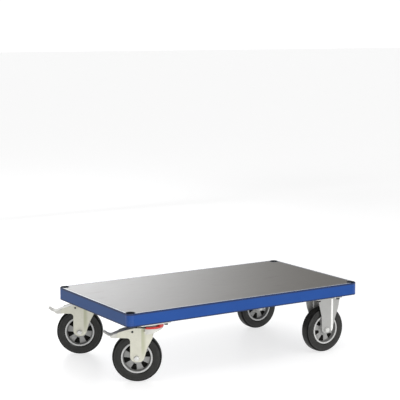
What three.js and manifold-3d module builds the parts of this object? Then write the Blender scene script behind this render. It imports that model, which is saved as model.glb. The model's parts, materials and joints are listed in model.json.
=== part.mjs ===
// Platform trolley with a flush deck in a steel frame, two fixed casters and
// two braked swivel casters. Millimetres, +X towards the fixed casters, +Y to
// the back, +Z up. The origin is the centre of the deck's top face.
import * as THREE from 'three';
import { mergeVertices } from 'three/addons/utils/BufferGeometryUtils.js';
import Module from 'manifold-3d';

const wasm = await Module();
wasm.setup();

// Platform
const deckLength = 1150;
const deckWidth = 620;
const deckHeight = 300;
const boardThickness = 12;
const railHeight = 54;
const railSheet = 3;
const ledgeWidth = 20;
const sideFlange = 30;
const endFlange = 21;
const tubeRadius = 20;
const tubeWall = 3;
const capRadius = 17.5;
const capRise = 1.6;
const capStem = 20;
const capPlay = 0.2;
const bearerWidth = 140;
const middleBearerWidth = 50;
// Casters
const wheelRadius = 100;
const tyreWidth = 46;
const tyreSides = 32;
const rimRadius = 63.5;
const rimWidth = 45;
const hubRadius = 20;
const hubWidth = 55.4;
const rimCore = 13;
const rimBore = 11.6;
const rimLip = 56.5;
const webRadius = 54;
const webAtRim = 8;
const webAtHub = 12;
const windowCount = 6;
const windowTurn = 15;
const windowReach = 20;
const bushRadius = 11;
const axleRadius = 6;
const swivelInset = 130;
const swivelSide = 58;
const fixedInset = 147;
const fixedSide = 57;
const trail = 52;
const restTurn = -33;
const plateLength = 140;
const plateWidth = 110;
const plateThickness = 5;
const plateCorner = 8;
const boltSpacingX = 105;
const boltSpacingY = 80;
const boltHoleRadius = 5.5;
const forkGap = 56;
const forkSheet = 3.5;
const footRadius = 26;
const footBottom = 84;
const discRadius = 41;
const discTop = 223;
const discThickness = 4;
const raceInner = 26;
const raceOuter = 38;
const raceTop = 232;
const kingpinRadius = 8;
const kingpinHead = 12;
const hexRadius = 11;
const headHeight = 7.5;
const nutHeight = 10;
const threadEnd = 3.5;
// Brake and release parts, in X ahead of the axle
const pinRadius = 4;
const brakePinX = -16.5;
const brakePinZ = 208;
const releasePinX = 34;
const releasePinZ = 211;
const releasePinReach = 51;
const pedalWidth = 52;
const pedalSheet = 2.5;
const shoeWidth = 36;
const shoeGap = 1.2;
// Release lever and the red pedal lying on it, about the swivel axis
const leverInner = 44;
const leverOuter = 54;
const leverReach = 109;
const leverSheet = 3;
const skirtInner = 50;
const skirtOuter = 53;
const skirtBottom = 202;
const skirtTop = 224;
const releaseSeat = 225;
const releaseInner = 43.5;
const armOuter = 55.5;
const armTop = 232.5;
const armReach = 105;
const toeOuter = 56;
const toeReach = 42;
const toeGap = 1.5;
// Where neighbours meet
const gap = 0.3;
const cutReach = 10;

const railBottom = deckHeight - railHeight;
const plateBottom = railBottom - plateThickness;
const boardBottom = deckHeight - boardThickness;
const cheekInner = forkGap / 2;
const cheekOuter = cheekInner + forkSheet;
const discBottom = discTop - discThickness;
const kingpinHole = kingpinRadius + 2 * gap;
const axleX = -trail;
const railShort = 2 * (tubeRadius + 6);
const tubeX = deckLength / 2 - tubeRadius;
const tubeY = deckWidth / 2 - tubeRadius;
const swivelX = -deckLength / 2 + swivelInset;
const swivelY = deckWidth / 2 - swivelSide;
const fixedX = deckLength / 2 - fixedInset;
const fixedY = deckWidth / 2 - fixedSide;

function finish(color, roughness, metalness) {
  return new THREE.MeshStandardMaterial({ color, roughness, metalness });
}

const bluePaint = finish(0x2257a4, 0.45, 0.1);
const deckLaminate = finish(0xa9a5a2, 0.4, 0.0);
const zincCream = finish(0xd6d5c6, 0.4, 0.6);
const zincGrey = finish(0xb4b3ae, 0.4, 0.7);
const darkSteel = finish(0x4a4b4d, 0.45, 0.8);
const blackPlastic = finish(0x141516, 0.5, 0.0);
const tyreRubber = finish(0x2c2d2d, 0.7, 0.0);
const rimPlastic = finish(0x8f908e, 0.5, 0.1);
const redPlastic = finish(0xc9302c, 0.35, 0.0);

// Solids
function solidOf(geometry) {
  const bare = geometry.index ? geometry.toNonIndexed() : geometry.clone();
  bare.deleteAttribute('normal');
  bare.deleteAttribute('uv');
  const merged = mergeVertices(bare, 1e-4);
  const mesh = new wasm.Mesh({
    numProp: 3,
    vertProperties: new Float32Array(merged.attributes.position.array),
    triVerts: new Uint32Array(merged.index.array),
  });
  return new wasm.Manifold(mesh);
}

function geometryOf(solid) {
  const mesh = solid.getMesh();
  const geometry = new THREE.BufferGeometry();
  geometry.setAttribute('position', new THREE.BufferAttribute(mesh.vertProperties, 3));
  geometry.setIndex(new THREE.BufferAttribute(mesh.triVerts, 1));
  return geometry;
}

function join(...pieces) {
  return geometryOf(pieces.map(solidOf).reduce((whole, next) => whole.add(next)));
}

function cut(piece, ...tools) {
  return geometryOf(tools.map(solidOf).reduce((whole, next) => whole.subtract(next), solidOf(piece)));
}

function overlapOf(piece, limit) {
  return geometryOf(solidOf(piece).intersect(solidOf(limit)));
}

function block(x0, x1, y0, y1, z0, z1) {
  const box = new THREE.BoxGeometry(x1 - x0, y1 - y0, z1 - z0);
  return box.translate((x0 + x1) / 2, (y0 + y1) / 2, (z0 + z1) / 2);
}

// Round bar along +Z from z0 to z1, at x, y.
function upright(radius, z0, z1, x = 0, y = 0, sides = 20) {
  const bar = new THREE.CylinderGeometry(radius, radius, z1 - z0, sides);
  return bar.rotateX(Math.PI / 2).translate(x, y, (z0 + z1) / 2);
}

// Round bar along +Y from y0 to y1, at x, z.
function crossbar(radius, y0, y1, x, z, sides = 12) {
  const bar = new THREE.CylinderGeometry(radius, radius, y1 - y0, sides);
  return bar.translate(x, (y0 + y1) / 2, z);
}

function outline(points) {
  return new THREE.Shape(points.map(([x, y]) => new THREE.Vector2(x, y)));
}

// A flat outline in X and Z, from y0 to y1.
function sideProfile(shape, y0, y1, curveSegments = 6) {
  const plate = new THREE.ExtrudeGeometry(shape, { depth: y1 - y0, bevelEnabled: false, curveSegments });
  return plate.rotateX(Math.PI / 2).translate(0, y1, 0);
}

// A flat outline in X and Y, from z0 to z1.
function plan(shape, z0, z1, curveSegments = 6) {
  const plate = new THREE.ExtrudeGeometry(shape, { depth: z1 - z0, bevelEnabled: false, curveSegments });
  return plate.translate(0, 0, z0);
}

// A ring about +Z between two radii, from z0 to z1.
function ring(inner, outer, z0, z1, segments = 24) {
  const section = [[inner, z0], [outer, z0], [outer, z1], [inner, z1], [inner, z0]];
  const turned = new THREE.LatheGeometry(section.map(([r, z]) => new THREE.Vector2(r, z)), segments);
  return turned.rotateX(Math.PI / 2);
}

function arcBand(inner, outer, halfAngle, z0, z1, curveSegments = 12) {
  const shape = new THREE.Shape();
  shape.absarc(0, 0, outer, -halfAngle, halfAngle, false);
  shape.absarc(0, 0, inner, halfAngle, -halfAngle, true);
  shape.closePath();
  return plan(shape, z0, z1, curveSegments);
}

function roundedPlate(length, width, corner) {
  const shape = new THREE.Shape();
  const x = length / 2 - corner;
  const y = width / 2 - corner;
  shape.absarc(x, y, corner, 0, Math.PI / 2);
  shape.absarc(-x, y, corner, Math.PI / 2, Math.PI);
  shape.absarc(-x, -y, corner, Math.PI, Math.PI * 1.5);
  shape.absarc(x, -y, corner, Math.PI * 1.5, Math.PI * 2);
  shape.closePath();
  return shape;
}

// Platform frame
const tubeSpots = { front_left: [-1, -1], front_right: [1, -1], back_left: [-1, 1], back_right: [1, 1] };
const casterSpots = [
  [swivelX, swivelY],
  [swivelX, -swivelY],
  [fixedX, fixedY],
  [fixedX, -fixedY],
];

function boltHoles() {
  const holes = [];
  for (const [x, y] of casterSpots) {
    for (const sideX of [-0.5, 0.5]) {
      for (const sideY of [-0.5, 0.5]) {
        const holeX = x + sideX * boltSpacingX;
        const holeY = y + sideY * boltSpacingY;
        holes.push(upright(boltHoleRadius, railBottom - cutReach, railBottom + cutReach, holeX, holeY, 8));
      }
    }
  }
  return holes;
}

function tubeSpaces() {
  const radius = tubeRadius + gap;
  const from = railBottom - cutReach;
  const to = deckHeight + cutReach;
  return Object.values(tubeSpots).map(([sideX, sideY]) =>
    upright(radius, from, to, sideX * tubeX, sideY * tubeY, 24));
}

// A bent rail whose outer face is at y = 0 and whose inside is towards +y.
function railBar(length, flange) {
  const lip = railSheet + flange;
  const section = outline([
    [0, railBottom],
    [lip, railBottom],
    [lip, railBottom + railSheet],
    [railSheet, railBottom + railSheet],
    [railSheet, deckHeight],
    [0, deckHeight],
  ]);
  const bar = new THREE.ExtrudeGeometry(section, { depth: length, bevelEnabled: false });
  return bar.rotateX(Math.PI / 2).rotateZ(Math.PI / 2).translate(-length / 2, 0, 0);
}

// A flat strip behind a rail's web, which the board lies on.
function ledgeStrip(length, start) {
  return block(-length / 2, length / 2, start, railSheet + ledgeWidth, boardBottom - railSheet, boardBottom);
}

function sideRail() {
  const bar = railBar(deckLength - railShort, sideFlange).translate(0, -deckWidth / 2, 0);
  return cut(bar, ...tubeSpaces(), ...boltHoles());
}

function sideLedge() {
  const strip = ledgeStrip(deckLength - railShort, railSheet + gap).translate(0, -deckWidth / 2, 0);
  return cut(strip, ...tubeSpaces());
}

function endRail() {
  const length = deckWidth - railShort;
  const bar = join(railBar(length, endFlange), ledgeStrip(length, railSheet / 2));
  return cut(bar.rotateZ(-Math.PI / 2).translate(-deckLength / 2, 0, 0), ...tubeSpaces());
}

function cornerTube(x, y) {
  const tube = ring(tubeRadius - tubeWall, tubeRadius, railBottom, deckHeight - gap);
  return tube.translate(x, y, 0);
}

function cornerCap() {
  const stem = tubeRadius - tubeWall - gap - capPlay;
  const profile = [
    [0, deckHeight - capStem],
    [stem, deckHeight - capStem],
    [stem, deckHeight],
    [capRadius, deckHeight],
    [capRadius - 1, deckHeight + capRise * 0.7],
    [capRadius - 5, deckHeight + capRise],
    [0, deckHeight + capRise],
  ];
  return latheUp(profile, 20);
}

// A turned solid about +Z from a profile of radius and height.
function latheUp(profile, segments) {
  const points = profile.map(([r, z]) => new THREE.Vector2(r, z));
  return new THREE.LatheGeometry(points, segments).rotateX(Math.PI / 2);
}

// The board stops at each corner tube.
function deckBoard() {
  const x = deckLength / 2 - railSheet - gap;
  const y = deckWidth / 2 - railSheet - gap;
  const longWay = block(-tubeX, tubeX, -y, y, boardBottom + gap, deckHeight);
  const shortWay = block(-x, x, -tubeY, tubeY, boardBottom + gap, deckHeight);
  return cut(join(longWay, shortWay), ...tubeSpaces());
}

// A channel across the frame, open towards the deck.
function bearer(x, width, bottom, reach) {
  const half = width / 2;
  const top = boardBottom;
  const section = outline([
    [x - half, bottom],
    [x + half, bottom],
    [x + half, top],
    [x + half - railSheet, top],
    [x + half - railSheet, bottom + railSheet],
    [x - half + railSheet, bottom + railSheet],
    [x - half + railSheet, top],
    [x - half, top],
  ]);
  return cut(sideProfile(section, -reach, reach), ...boltHoles());
}

// Caster mounting plate centred on x = y = 0, under the frame.
function mountingPlate() {
  const plate = plan(roundedPlate(plateLength, plateWidth, plateCorner), plateBottom, railBottom - gap, 3);
  const holes = [];
  for (const x of [-boltSpacingX / 2, boltSpacingX / 2]) {
    for (const y of [-boltSpacingY / 2, boltSpacingY / 2]) {
      holes.push(upright(boltHoleRadius, plateBottom - cutReach, railBottom + cutReach, x, y, 8));
    }
  }
  return cut(plate, ...holes);
}

function swivelPlate() {
  const race = ring(raceInner, raceOuter, raceTop + gap, plateBottom + 1);
  const hole = upright(kingpinHole, raceTop - cutReach, railBottom + cutReach);
  return cut(join(mountingPlate(), race), hole);
}

function kingpin() {
  const profile = [
    [0, discBottom - gap - kingpinHead],
    [kingpinHead - 3, discBottom - gap - kingpinHead],
    [kingpinHead, discBottom - gap - kingpinHead + 3],
    [kingpinHead, discBottom - gap],
    [kingpinRadius, discBottom - gap],
    [kingpinRadius, railBottom - 2 * gap],
    [0, railBottom - 2 * gap],
  ];
  return latheUp(profile, 16);
}

function ballRing() {
  const profile = [
    [raceInner - 4, discTop + gap],
    [raceOuter, discTop + gap],
    [raceOuter - 1.5, (discTop + raceTop) / 2],
    [raceOuter, raceTop],
    [raceInner - 4, raceTop],
    [raceInner - 4, discTop + gap],
  ];
  return latheUp(profile, 24);
}

// Round lower end of a fork leg, below the axle and level with its sides.
function legEnd(shape) {
  const start = wheelRadius + 6;
  shape.moveTo(-footRadius, start);
  shape.absellipse(0, start, footRadius, start - footBottom, Math.PI, Math.PI * 2, false);
}

// Swivel fork cheek: round foot, slanted leading edge, and a wing behind.
function swivelCheekOutline() {
  const shape = new THREE.Shape();
  legEnd(shape);
  shape.lineTo(43, 142);
  shape.lineTo(63, 180);
  shape.quadraticCurveTo(68, 200, 56, 212);
  shape.quadraticCurveTo(40, discTop, 20, discTop);
  shape.lineTo(0, discTop);
  shape.quadraticCurveTo(-24, 220, -46, 214);
  shape.lineTo(-70, 206);
  shape.quadraticCurveTo(-80, 202, -78, 190);
  shape.quadraticCurveTo(-76, 183, -66, 183);
  shape.lineTo(-38, 182);
  shape.quadraticCurveTo(-26, 182, -25, 170);
  shape.closePath();
  return shape;
}

// Pressed sheet seen from above: flat to the crease, then bent towards the wheel.
function swivelCheekSheet() {
  const crease = 20;
  const end = 75;
  const bend = Math.tan(THREE.MathUtils.degToRad(6)) * (end - crease);
  const section = outline([
    [-90, -cheekOuter],
    [crease, -cheekOuter],
    [end, -cheekOuter + bend],
    [end, -cheekInner + bend],
    [crease, -cheekInner],
    [-90, -cheekInner],
  ]);
  return plan(section, 70, discTop);
}

function mirrored(piece) {
  const solid = solidOf(piece).mirror([0, 1, 0]);
  return geometryOf(solid);
}

function swivelFork() {
  const cheek = overlapOf(swivelCheekSheet(), sideProfile(swivelCheekOutline(), -60, 0, 4));
  const bridge = block(2, 60, -cheekInner - 1, cheekInner + 1, discBottom, discTop);
  const disc = upright(discRadius, discBottom, discTop, trail, 0, 24);
  const body = join(cheek, mirrored(cheek), bridge, disc);
  const reach = cheekOuter + 5;
  return cut(
    body,
    crossbar(axleRadius + gap, -reach, reach, 0, wheelRadius),
    crossbar(pinRadius + gap, -reach, reach, brakePinX, brakePinZ),
    crossbar(pinRadius + gap, -reach, reach, releasePinX, releasePinZ),
    upright(kingpinHole, discBottom - cutReach, discTop + cutReach, trail),
  ).translate(axleX, 0, 0);
}

// Fixed fork leg: a flat strip, a raised step at the crease and an outer strip.
function fixedLeg() {
  const shape = new THREE.Shape();
  legEnd(shape);
  shape.lineTo(39, 140);
  shape.lineTo(56, 187);
  shape.quadraticCurveTo(68, 212, 68, plateBottom + 1);
  shape.lineTo(-46, plateBottom + 1);
  shape.quadraticCurveTo(-44, 220, -31, 182);
  shape.lineTo(-25, 123);
  shape.closePath();
  const crease = 24;
  const stepOut = 4;
  const section = outline([
    [-80, -cheekOuter],
    [crease, -cheekOuter],
    [crease + 5, -cheekOuter - stepOut],
    [80, -cheekOuter - stepOut],
    [80, -cheekInner - stepOut],
    [crease + 6, -cheekInner - stepOut],
    [crease + 1, -cheekInner],
    [-80, -cheekInner],
  ]);
  return overlapOf(plan(section, 70, plateBottom + 1), sideProfile(shape, -60, 0, 4));
}

function fixedFork() {
  const leg = fixedLeg();
  const otherLeg = leg.clone().rotateZ(Math.PI);
  const reach = cheekOuter + 5;
  const hole = crossbar(axleRadius + gap, -reach, reach, 0, wheelRadius);
  return cut(join(mountingPlate(), leg, otherLeg), hole);
}

// Axle bolt with its head on the -Y side, and its nut on the +Y side.
function axleBolt() {
  const face = cheekOuter + gap;
  const head = crossbar(hexRadius, -face - headHeight, -face, 0, 0, 6);
  return join(head, crossbar(axleRadius, -face - 1, face + nutHeight + threadEnd, 0, 0));
}

function axleNut() {
  const face = cheekOuter + gap;
  const nut = crossbar(hexRadius, face, face + nutHeight, 0, 0, 6);
  return cut(nut, crossbar(axleRadius + gap, face - cutReach, face + nutHeight + cutReach, 0, 0));
}

// Wheel, turned about Y. Its flats put one side of the tread level on the floor.
function turned(profile, segments) {
  const points = profile.map(([r, y]) => new THREE.Vector2(r, y));
  return new THREE.LatheGeometry(points, segments, Math.PI / segments);
}

function tyre() {
  const half = tyreWidth / 2;
  const tread = wheelRadius / Math.cos(Math.PI / tyreSides);
  const bore = rimRadius + gap + 0.4;
  return turned([
    [bore, -half + 1],
    [bore + 6, -half],
    [tread - 10, -half],
    [tread - 2.6, -half + 3.4],
    [tread, -half + 10],
    [tread, half - 10],
    [tread - 2.6, half - 3.4],
    [tread - 10, half],
    [bore + 6, half],
    [bore, half - 1],
    [bore, -half + 1],
  ], tyreSides);
}

// Rim with blind pockets in each face, on either side of a closed core.
function rim() {
  const half = rimWidth / 2;
  const hubHalf = hubWidth / 2;
  const body = turned([
    [rimBore, -hubHalf],
    [hubRadius - 2, -hubHalf],
    [hubRadius, -webAtHub],
    [webRadius, -webAtRim],
    [rimLip, -half],
    [rimRadius, -half],
    [rimRadius, half],
    [rimLip, half],
    [webRadius, webAtRim],
    [hubRadius, webAtHub],
    [hubRadius - 2, hubHalf],
    [rimBore, hubHalf],
    [rimBore, -hubHalf],
  ], 24);
  const window = outline([[27, -4], [52, -11], [52, 11], [27, 4]]);
  const windows = [];
  for (let k = 0; k < windowCount; k += 1) {
    const turn = THREE.MathUtils.degToRad(-windowTurn - (360 / windowCount) * k);
    windows.push(sideProfile(window, -windowReach, -rimCore / 2).rotateY(turn));
    windows.push(sideProfile(window, rimCore / 2, windowReach).rotateY(turn));
  }
  return cut(body, ...windows);
}

function hubBush() {
  const half = hubWidth / 2;
  const bore = axleRadius + 0.5;
  return turned([
    [bore, -half],
    [bushRadius, -half],
    [bushRadius, half],
    [bore, half],
    [bore, -half],
  ], 12);
}

// Brake pedal: a channel over the tyre with a lip turned up at its end.
function brakePedal() {
  const web = outline([
    [-8, 213.4],
    [-45, 209.6],
    [-75, 200],
    [-106, 187],
    [-121, 192],
    [-134.5, 203],
    [-136, 206],
    [-122, 195.6],
    [-107, 190.4],
    [-75, 203.2],
    [-45, 212.9],
    [-8, 216.6],
  ]);
  const flange = outline([
    [-8, 202],
    [-8, 214],
    [-45, 210.5],
    [-75, 201],
    [-106, 188],
    [-104, 183],
    [-96, 180.5],
    [-76, 181],
    [-58, 188],
    [-34, 200],
  ]);
  const half = pedalWidth / 2;
  const taper = outline([
    [-4, -half],
    [-4, half],
    [-104, half],
    [-112, half - 4],
    [-140, half - 6],
    [-140, -half + 6],
    [-112, -half + 4],
    [-104, -half],
  ]);
  const nearSide = sideProfile(flange, -half, -half + pedalSheet);
  const farSide = sideProfile(flange, half - pedalSheet, half);
  const shaped = overlapOf(join(sideProfile(web, -half, half), nearSide, farSide), plan(taper, 150, 230));
  return cut(shaped, crossbar(pinRadius + gap, -half - cutReach, half + cutReach, brakePinX, brakePinZ))
    .translate(axleX, 0, 0);
}

function brakeShoe() {
  const face = wheelRadius + shoeGap;
  const front = -24;
  const rear = -58;
  const shape = new THREE.Shape();
  shape.absarc(0, wheelRadius, face, Math.acos(front / face), Math.acos(rear / face), false);
  shape.lineTo(rear, 205);
  shape.lineTo(-45, 209.1);
  shape.lineTo(front, 211.2);
  shape.closePath();
  return sideProfile(shape, -shoeWidth / 2, shoeWidth / 2, 8).translate(axleX, 0, 0);
}

// Release lever: a horseshoe around the bearing with a tapering skirt.
function releaseLever() {
  const reach = THREE.MathUtils.degToRad(leverReach);
  const top = releaseSeat - gap;
  const span = 60;
  const shoe = arcBand(leverInner, leverOuter, reach, top - leverSheet, top);
  const skirt = arcBand(skirtInner, skirtOuter, reach, skirtBottom, skirtTop);
  const keep = outline([[-30, 203], [-8, 203], [14, 206], [50, 220], [span, top], [-30, top]]);
  const lever = join(shoe, overlapOf(skirt, sideProfile(keep, -span, span)));
  return cut(lever, crossbar(pinRadius + gap, -span, span, releasePinX - trail, releasePinZ));
}

// Red pedal on the lever: two arms around the bearing and a higher toe.
function releasePedal() {
  const arms = arcBand(releaseInner, armOuter, THREE.MathUtils.degToRad(armReach), releaseSeat, armTop);
  const toeTop = plateBottom - toeGap;
  const toe = arcBand(releaseInner, toeOuter, THREE.MathUtils.degToRad(toeReach), releaseSeat, toeTop, 6);
  return join(arms, toe);
}

// Assembly
const trolley = new THREE.Group();
const standing = new THREE.Group();
standing.position.z = -deckHeight;
trolley.add(standing);

function addPiece(parent, name, geometry, material) {
  const piece = new THREE.Mesh(geometry, material);
  piece.name = name;
  parent.add(piece);
  return piece;
}

addPiece(standing, 'deck_board', deckBoard(), deckLaminate);
addPiece(standing, 'front_rail', sideRail(), bluePaint);
addPiece(standing, 'back_rail', sideRail().rotateZ(Math.PI), bluePaint);
addPiece(standing, 'front_ledge', sideLedge(), bluePaint);
addPiece(standing, 'back_ledge', sideLedge().rotateZ(Math.PI), bluePaint);
addPiece(standing, 'left_rail', endRail(), bluePaint);
addPiece(standing, 'right_rail', endRail().rotateZ(Math.PI), bluePaint);
for (const [spot, [sideX, sideY]] of Object.entries(tubeSpots)) {
  addPiece(standing, `corner_tube_${spot}`, cornerTube(sideX * tubeX, sideY * tubeY), bluePaint);
  const cap = addPiece(standing, `corner_cap_${spot}`, cornerCap(), blackPlastic);
  cap.position.set(sideX * tubeX, sideY * tubeY, 0);
}
const bearerReach = deckWidth / 2 - railSheet - sideFlange - 2 * gap;
const middleReach = deckWidth / 2 - railSheet - ledgeWidth - gap;
addPiece(standing, 'swivel_bearer', bearer(swivelX, bearerWidth, railBottom, bearerReach), bluePaint);
addPiece(standing, 'fixed_bearer', bearer(fixedX, bearerWidth, railBottom, bearerReach), bluePaint);
const middleBottom = railBottom + railSheet + gap;
addPiece(standing, 'middle_bearer', bearer(0, middleBearerWidth, middleBottom, middleReach), bluePaint);

function addAxle(parent, side, x) {
  for (const [name, geometry] of [['axle_bolt', axleBolt()], ['axle_nut', axleNut()]]) {
    addPiece(parent, `${name}_${side}`, geometry, zincGrey).position.set(x, 0, wheelRadius);
  }
}

function addWheel(parent, side, x) {
  const wheel = new THREE.Group();
  wheel.position.set(x, 0, wheelRadius);
  parent.add(wheel);
  addPiece(wheel, `tyre_${side}`, tyre(), tyreRubber);
  addPiece(wheel, `rim_${side}`, rim(), rimPlastic);
  addPiece(wheel, `hub_bush_${side}`, hubBush(), darkSteel);
}

for (const [side, y] of [['front', -fixedY], ['back', fixedY]]) {
  const caster = new THREE.Group();
  caster.position.set(fixedX, y, 0);
  standing.add(caster);
  addPiece(caster, `fixed_fork_${side}`, fixedFork(), zincGrey);
  addAxle(caster, `fixed_${side}`, 0);
  addWheel(caster, `fixed_${side}`, 0);
}

for (const [side, y] of [['front', -swivelY], ['back', swivelY]]) {
  const caster = new THREE.Group();
  caster.position.set(swivelX, y, 0);
  standing.add(caster);
  addPiece(caster, `swivel_plate_${side}`, swivelPlate(), zincGrey);
  addPiece(caster, `kingpin_${side}`, kingpin(), darkSteel);
  const swivel = new THREE.Group();
  swivel.rotation.z = THREE.MathUtils.degToRad(restTurn);
  caster.add(swivel);
  addPiece(swivel, `swivel_fork_${side}`, swivelFork(), zincCream);
  addPiece(swivel, `ball_ring_${side}`, ballRing(), darkSteel);
  addAxle(swivel, `swivel_${side}`, axleX);
  addWheel(swivel, `swivel_${side}`, axleX);
  const brakePinReach = cheekOuter + 1.5;
  const brakePin = crossbar(pinRadius, -brakePinReach, brakePinReach, axleX + brakePinX, brakePinZ);
  addPiece(swivel, `brake_pin_${side}`, brakePin, darkSteel);
  const releasePin = crossbar(pinRadius, -releasePinReach, releasePinReach, releasePinX - trail, releasePinZ);
  addPiece(swivel, `release_pin_${side}`, releasePin, zincCream);
  addPiece(swivel, `brake_pedal_${side}`, brakePedal(), zincGrey);
  addPiece(swivel, `brake_shoe_${side}`, brakeShoe(), blackPlastic);
  addPiece(swivel, `release_lever_${side}`, releaseLever(), zincGrey);
  addPiece(swivel, `release_pedal_${side}`, releasePedal(), redPlastic);
}

export default trolley;
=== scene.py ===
import bisect
import json
import math
import bmesh
import bpy
from mathutils import Matrix, Vector


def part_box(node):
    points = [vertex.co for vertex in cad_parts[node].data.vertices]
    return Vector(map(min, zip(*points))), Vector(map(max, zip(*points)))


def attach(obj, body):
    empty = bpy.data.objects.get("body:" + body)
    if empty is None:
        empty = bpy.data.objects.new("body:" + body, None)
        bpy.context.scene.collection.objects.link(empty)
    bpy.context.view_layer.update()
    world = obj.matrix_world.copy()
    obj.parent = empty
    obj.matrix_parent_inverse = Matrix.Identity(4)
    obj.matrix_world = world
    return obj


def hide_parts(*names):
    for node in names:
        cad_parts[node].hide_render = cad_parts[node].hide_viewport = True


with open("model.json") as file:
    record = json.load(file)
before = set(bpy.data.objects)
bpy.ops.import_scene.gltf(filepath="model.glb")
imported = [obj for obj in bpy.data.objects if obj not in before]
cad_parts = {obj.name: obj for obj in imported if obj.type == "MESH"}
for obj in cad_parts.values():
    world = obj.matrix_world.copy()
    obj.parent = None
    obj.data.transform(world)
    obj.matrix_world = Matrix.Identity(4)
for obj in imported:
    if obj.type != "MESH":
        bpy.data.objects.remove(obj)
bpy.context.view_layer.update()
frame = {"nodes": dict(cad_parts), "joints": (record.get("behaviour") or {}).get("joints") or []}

millimetre = 0.001
print("frame loaded:", len(frame["nodes"]), "nodes")

# camera first, at the height and angle of someone standing a few metres off
cameraView = {
    "place": (-2.865, -4.445, 1.113),
    "turn": 32.37,      # degrees from +Y towards +X
    "dip": 7.98,        # degrees below level
    "lens": 111.3,
}


def placeCamera():
    camera = bpy.data.objects.new("camera", bpy.data.cameras.new("camera"))
    camera.location = cameraView["place"]
    camera.rotation_euler = (math.radians(90 - cameraView["dip"]), 0, -math.radians(cameraView["turn"]))
    camera.data.lens = cameraView["lens"]
    camera.data.clip_end = 200
    bpy.context.scene.collection.objects.link(camera)
    bpy.context.scene.camera = camera


placeCamera()


class Signal:
    def __init__(self, nodes, socket):
        self.nodes = nodes
        self.socket = socket

    def work(self, operation, first, second):
        return self.nodes.add("ShaderNodeMath", {"operation": operation}, {0: first, 1: second})

    def __add__(self, other):
        return self.work("ADD", self, other)

    __radd__ = __add__

    def __sub__(self, other):
        return self.work("SUBTRACT", self, other)

    def __rsub__(self, other):
        return self.work("SUBTRACT", other, self)

    def __mul__(self, other):
        return self.work("MULTIPLY", self, other)

    __rmul__ = __mul__

    def __pow__(self, other):
        return self.work("POWER", self, other)

    def least(self, other):
        return self.work("MINIMUM", self, other)

    def most(self, other):
        return self.work("MAXIMUM", self, other)

    def size(self):
        return self.work("ABSOLUTE", self, 0)


class Nodes:
    def __init__(self, tree):
        self.tree = tree

    # settings first, then socket values or links, and one output comes back
    def add(self, kind, settings, inputs, output=0):
        node = self.tree.nodes.new(kind)
        for key, value in settings.items():
            setattr(node, key, value)
        for key, value in inputs.items():
            self.feed(node.inputs[key], value)
        return Signal(self, node.outputs[output])

    def feed(self, socket, value):
        if isinstance(value, Signal):
            self.tree.links.new(value.socket, socket)
        elif socket.type == "RGBA":
            socket.default_value = (*value, 1)
        else:
            socket.default_value = value

    def noise(self, scale, detail=3, roughness=0.5, place=None):
        sockets = {"Vector": place or self.place, "Scale": scale, "Detail": detail, "Roughness": roughness}
        return self.add("ShaderNodeTexNoise", {}, sockets, "Fac")

    # soft step from 0 to 1 as value goes from low to high
    def step(self, value, low, high):
        settings = {"interpolation_type": "SMOOTHSTEP"}
        sockets = {"Value": value, "From Min": low, "From Max": high, "To Min": 0.0, "To Max": 1.0}
        return self.add("ShaderNodeMapRange", settings, sockets, "Result")

    # the mix node keeps its colour sockets at 6 and 7, and its colour output at 2
    def blendColours(self, share, first, second):
        return self.add("ShaderNodeMix", {"data_type": "RGBA"}, {0: share, 6: first, 7: second}, 2)

    def axes(self, vector):
        node = self.add("ShaderNodeSeparateXYZ", {}, {"Vector": vector}, "X").socket.node
        return [Signal(self, node.outputs[name]) for name in ("X", "Y", "Z")]


class Finish(Nodes):
    def __init__(self, name):
        self.material = bpy.data.materials.new(name)
        self.material.use_nodes = True
        super().__init__(self.material.node_tree)
        self.shader = self.tree.nodes["Principled BSDF"]
        self.place = self.add("ShaderNodeTexCoord", {}, {}, "Object")

    # shader sockets by name, with _ for a space
    def fixed(self, **values):
        for key, value in values.items():
            self.feed(self.shader.inputs[key.replace("_", " ")], value)

    def stretched(self, scale, shift=(0, 0, 0)):
        sockets = {"Vector": self.place, "Scale": scale, "Location": shift}
        return self.add("ShaderNodeMapping", {}, sockets, "Vector")

    def bump(self, height, strength, distance):
        sockets = {"Height": height, "Strength": strength, "Distance": distance}
        return self.add("ShaderNodeBump", {}, sockets, "Normal")

    # place measured from a centre, along one direction
    def along(self, centre, direction):
        settings = {"operation": "SUBTRACT"}
        offset = self.add("ShaderNodeVectorMath", settings, {0: self.place, 1: tuple(centre)}, "Vector")
        settings = {"operation": "DOT_PRODUCT"}
        return self.add("ShaderNodeVectorMath", settings, {0: offset, 1: tuple(direction)}, "Value")

    # distance from the line through a centre along an axle
    def fromAxle(self, centre, axle):
        settings = {"operation": "DISTANCE"}
        reach = self.add("ShaderNodeVectorMath", settings, {0: self.place, 1: tuple(centre)}, "Value")
        across = self.along(centre, axle)
        return (reach * reach - across * across).most(0) ** 0.5

    # 1 between the pair of places where it rises and the pair where it falls
    def between(self, value, rise, fall):
        return self.step(value, *rise) * (1 - self.step(value, *fall))


# a shape is (points, faces), in millimetres until it is placed
def together(*shapes):
    points, faces = [], []
    for shapePoints, shapeFaces in shapes:
        start = len(points)
        points += shapePoints
        faces += [[start + k for k in face] for face in shapeFaces]
    return points, faces


def moved(shape, matrix):
    points, faces = shape
    flipped = matrix.to_3x3().determinant() < 0
    newFaces = [face[::-1] for face in faces] if flipped else faces
    return [matrix @ Vector(point) for point in points], newFaces


def shifted(shape, x=0, y=0, z=0):
    return moved(shape, Matrix.Translation((x, y, z)))


def turnedAbout(shape, axis, degrees):
    return moved(shape, Matrix.Rotation(math.radians(degrees), 4, axis))


def mirroredInY(shape):
    return moved(shape, Matrix.Diagonal((1, -1, 1, 1)))


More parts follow.
